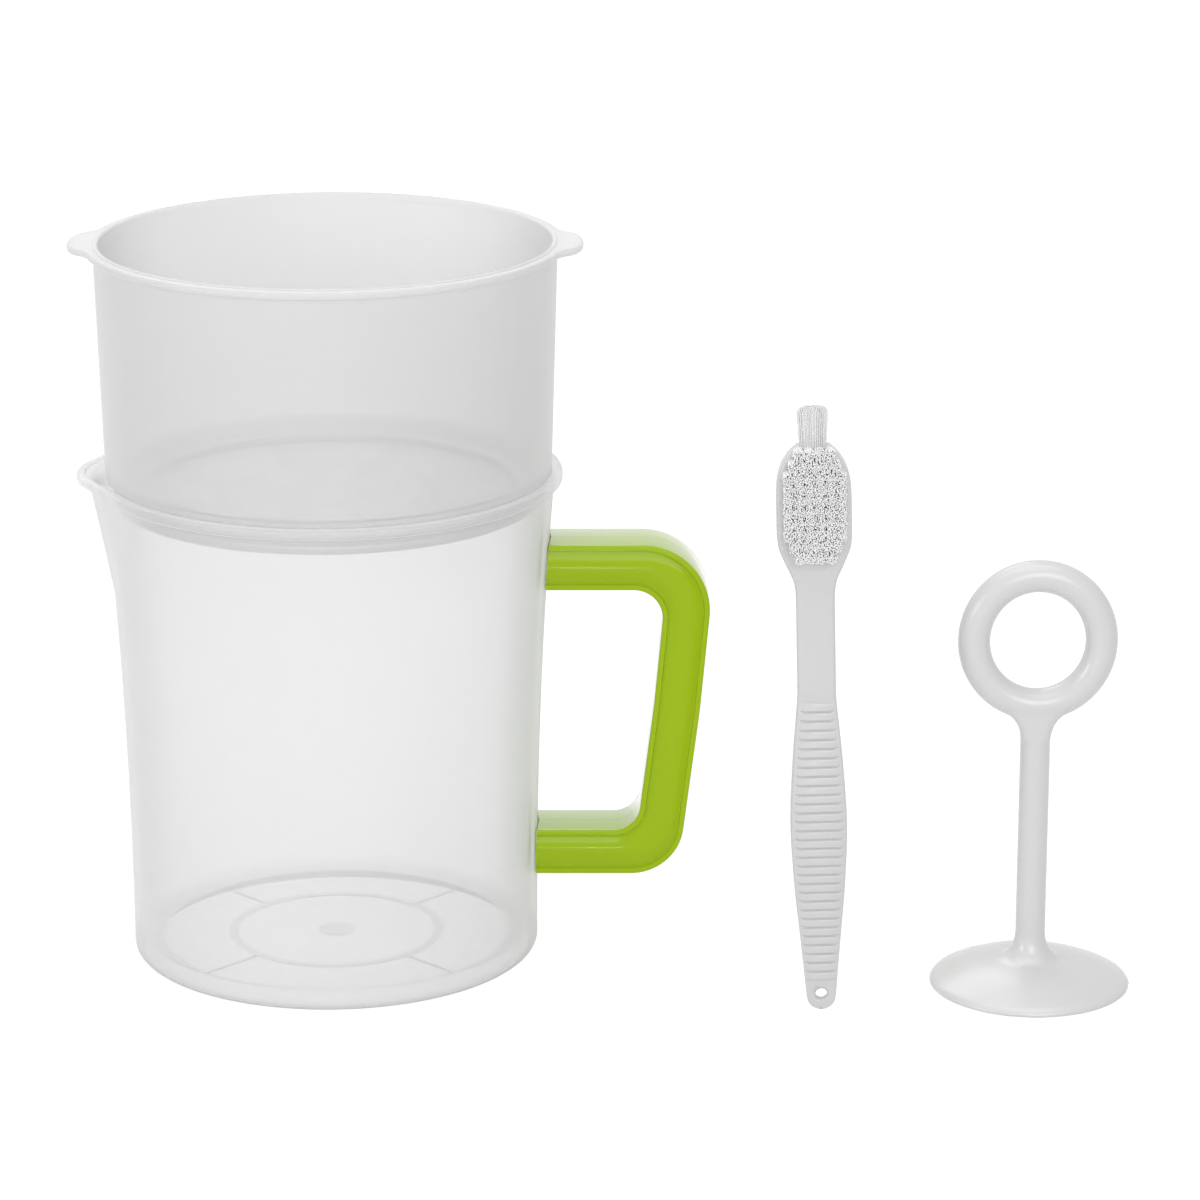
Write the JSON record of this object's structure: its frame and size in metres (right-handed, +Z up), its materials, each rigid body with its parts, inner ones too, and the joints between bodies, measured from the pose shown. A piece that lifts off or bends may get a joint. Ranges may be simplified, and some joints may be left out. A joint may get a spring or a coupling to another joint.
{
  "type": "yogurt strainer",
  "caption": "Translucent jug with spout and green loop handle, straining cup with ears seated in its mouth, and a brush and a press standing beside it.",
  "frame": {"origin": "middle of the whole set's footprint, on the surface that it stands on", "axes": "+X from the jug's spout to its handle and on to the brush and the press, +Y away from the picture's viewer, +Z up"},
  "size_m": [0.284, 0.1272, 0.1977],
  "materials": {
    "jug_plastic": "translucent moulded polypropylene, satin",
    "handle_plastic": "glossy lime green moulding",
    "cup_plastic": "whitish, slightly translucent moulding, satin",
    "filter_screen": "fine nylon screen, welded to a plain border",
    "white_plastic": "white moulding, satin gloss",
    "bristle_nylon": "white nylon filament"
  },
  "bodies": {
    "jug": {"jug_body": "jug_plastic", "handle_front_shell": "handle_plastic", "handle_back_shell": "handle_plastic"},
    "strainer": {"strainer_cup": "cup_plastic", "filter_mesh": "filter_screen", "retaining_ring": "cup_plastic"},
    "press_tool": {"press": "white_plastic"},
    "brush_tool": {"brush_body": "white_plastic", "bristle_field": "bristle_nylon", "tip_tuft": "bristle_nylon"}
  },
  "joints": [
    {"name": "strainer_lift", "type": "slide", "parent": "jug", "child": "strainer", "axis": [0, 0, 1], "range_m": [0, 0.12]},
    {"name": "press_lift", "type": "slide", "parent": "jug", "child": "press_tool", "axis": [0, 0, 1], "range_m": [0, 0.15]},
    {"name": "brush_lift", "type": "slide", "parent": "jug", "child": "brush_tool", "axis": [0, 0, 1], "range_m": [0, 0.15]}
  ]
}
